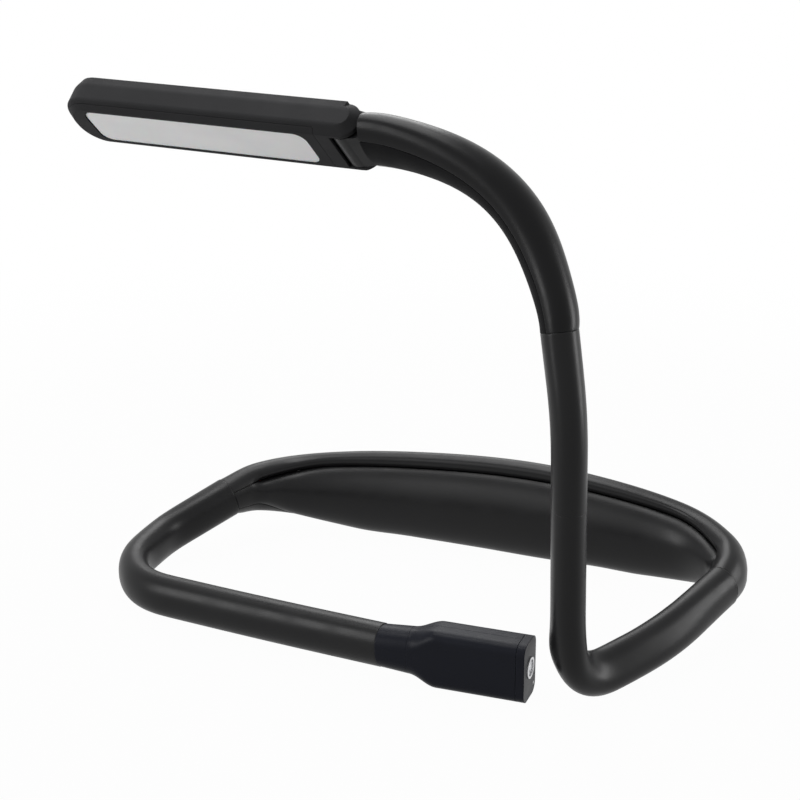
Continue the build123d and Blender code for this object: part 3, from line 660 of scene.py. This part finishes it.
def make_band():
    places = np.linspace(0, 1, BAND_STATIONS)
    upper, lower = [pad_angles(places, full)[:, None] for full in (PAD_UPPER_ANGLE, PAD_LOWER_ANGLE)]
    crowded = np.cos(math.pi * np.linspace(0, 1, COVER_POINTS))
    share = 0.5 - 0.5 * crowded * np.abs(crowded) ** COVER_CROWDING
    angles = upper + share[None, :] * (2 * math.pi - upper - lower)
    from_upper, from_lower = angles - upper, 2 * math.pi - lower - angles
    lip = 1 - np.clip(np.minimum(from_upper, from_lower) / math.radians(LIP_ANGLE), 0, 1)
    upper_groove = groove_share(places, GROOVE_START, GROOVE_FADE)
    lower_groove = groove_share(places, LOWER_GROOVE_START, LOWER_GROOVE_FADE)
    depth = GROOVE_DEPTH * np.where(from_upper < from_lower, upper_groove, lower_groove) * lip ** LIP_CURVE
    outer = band_surface(places, angles, -depth)
    inner = band_surface(places, angles, -depth * GROOVE_BACKING - BAND_WALL)
    cover = shell("band_cover", outer, inner, False, cover_rubber)
    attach(cover, "root")
    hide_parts("band_outer_cover")
    across = np.linspace(-1, 1, PAD_POINTS)
    reach = (upper + lower) / 2 - math.radians(PAD_GAP_ANGLE)
    angles = (upper - lower) / 2 + reach * across[None, :]
    crown = (1 - np.abs(across) ** PAD_SHOULDER)[None, :]
    groove = np.where(across[None, :] > 0, upper_groove, lower_groove)
    rise = upper_groove * PAD_CROWN * crown - groove * GROOVE_DEPTH * (1 - crown)
    outer = band_surface(places, angles, rise)
    inner = band_surface(places, angles, np.full_like(rise, -PAD_BACK))
    pad = shell("band_pad", outer, inner, False, pad_rubber)
    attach(pad, "root")
    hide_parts("band_inner_pad")


# Studio

def area_light(name, place, target, size, power):
    """Soft lamp at a place in millimetres, turned to a target."""
    data = bpy.data.lights.new(name, "AREA")
    data.shape = "RECTANGLE"
    data.size, data.size_y = [side * MM for side in size]
    data.energy = power
    lamp = bpy.data.objects.new(name, data)
    lamp.location = Vector(place) * MM
    lamp.rotation_euler = (Vector(target) - Vector(place)).to_track_quat("-Z", "Y").to_euler()
    bpy.context.scene.collection.objects.link(lamp)


def seen_rays(tree):
    """1 for rays that see the background, straight, by reflection or through glass."""
    path = node(tree, "ShaderNodeLightPath")
    total = node(tree, "ShaderNodeMath", operation="ADD")
    tree.links.new(path.outputs["Is Camera Ray"], total.inputs[0])
    tree.links.new(path.outputs["Is Glossy Ray"], total.inputs[1])
    clipped = node(tree, "ShaderNodeMath", operation="ADD", use_clamp=True)
    tree.links.new(total.outputs[0], clipped.inputs[0])
    tree.links.new(path.outputs["Is Transmission Ray"], clipped.inputs[1])
    return clipped.outputs[0]


def whiteness(tree):
    """How much of the floor's look is plain white: most of it near the object, and all of it far away."""
    place = node(tree, "ShaderNodeTexCoord").outputs["Object"]
    distance = node(tree, "ShaderNodeVectorMath", operation="LENGTH")
    tree.links.new(place, distance.inputs[0])
    made = node(tree, "ShaderNodeMapRange", interpolation_type="SMOOTHSTEP")
    for name, reach in zip(("From Min", "From Max"), SHADOW_REACH):
        made.inputs[name].default_value = reach * MM
    made.inputs["To Min"].default_value = NEAR_WHITENESS
    made.inputs["To Max"].default_value = 1.0
    tree.links.new(distance.outputs["Value"], made.inputs["Value"])
    return made.outputs["Result"]


def make_floor():
    """Pale floor that keeps a soft shadow."""
    bpy.ops.mesh.primitive_plane_add(size=FLOOR_SIZE * MM, location=(0, 0, 0))
    floor = bpy.context.object
    floor.name = "floor"
    material = bpy.data.materials.new("floor_white")
    material.use_nodes = True
    tree = material.node_tree
    shader = tree.nodes["Principled BSDF"]
    shader.inputs["Base Color"].default_value = (FLOOR_COLOUR, FLOOR_COLOUR, FLOOR_COLOUR, 1)
    shader.inputs["Roughness"].default_value = FLOOR_ROUGHNESS
    glow = node(tree, "ShaderNodeEmission")
    glow.inputs["Strength"].default_value = 1.0
    share = node(tree, "ShaderNodeMath", operation="MULTIPLY")
    tree.links.new(whiteness(tree), share.inputs[1])
    tree.links.new(seen_rays(tree), share.inputs[0])
    mix = node(tree, "ShaderNodeMixShader")
    tree.links.new(share.outputs[0], mix.inputs[0])
    tree.links.new(shader.outputs[0], mix.inputs[1])
    tree.links.new(glow.outputs[0], mix.inputs[2])
    tree.links.new(mix.outputs[0], tree.nodes["Material Output"].inputs["Surface"])
    floor.data.materials.append(material)


def make_world():
    """White room where it is seen, and a dimmer one that lights the object."""
    world = bpy.data.worlds.new("studio")
    world.use_nodes = True
    tree = world.node_tree
    background = tree.nodes["Background"]
    background.inputs["Color"].default_value = (1, 1, 1, 1)
    strength = node(tree, "ShaderNodeMapRange")
    strength.inputs["To Min"].default_value = ROOM_LIGHT
    strength.inputs["To Max"].default_value = 1.0
    tree.links.new(seen_rays(tree), strength.inputs["Value"])
    tree.links.new(strength.outputs["Result"], background.inputs["Strength"])
    bpy.context.scene.world = world


def make_camera():
    data = bpy.data.cameras.new("camera")
    data.lens = CAMERA_LENS
    data.sensor_width = CAMERA_SENSOR
    camera = bpy.data.objects.new("camera", data)
    camera.location = Vector(CAMERA_PLACE) * MM
    camera.rotation_euler = (math.radians(90 - CAMERA_ELEVATION), 0, math.radians(CAMERA_AZIMUTH))
    bpy.context.scene.collection.objects.link(camera)
    bpy.context.scene.camera = camera


make_camera()
make_left_neck()
make_right_neck()
make_band()
make_floor()
make_world()
for name, (place, target, size, power) in LAMPS.items():
    area_light(name, place, target, size, power)
bpy.context.scene.view_settings.view_transform = "Standard"
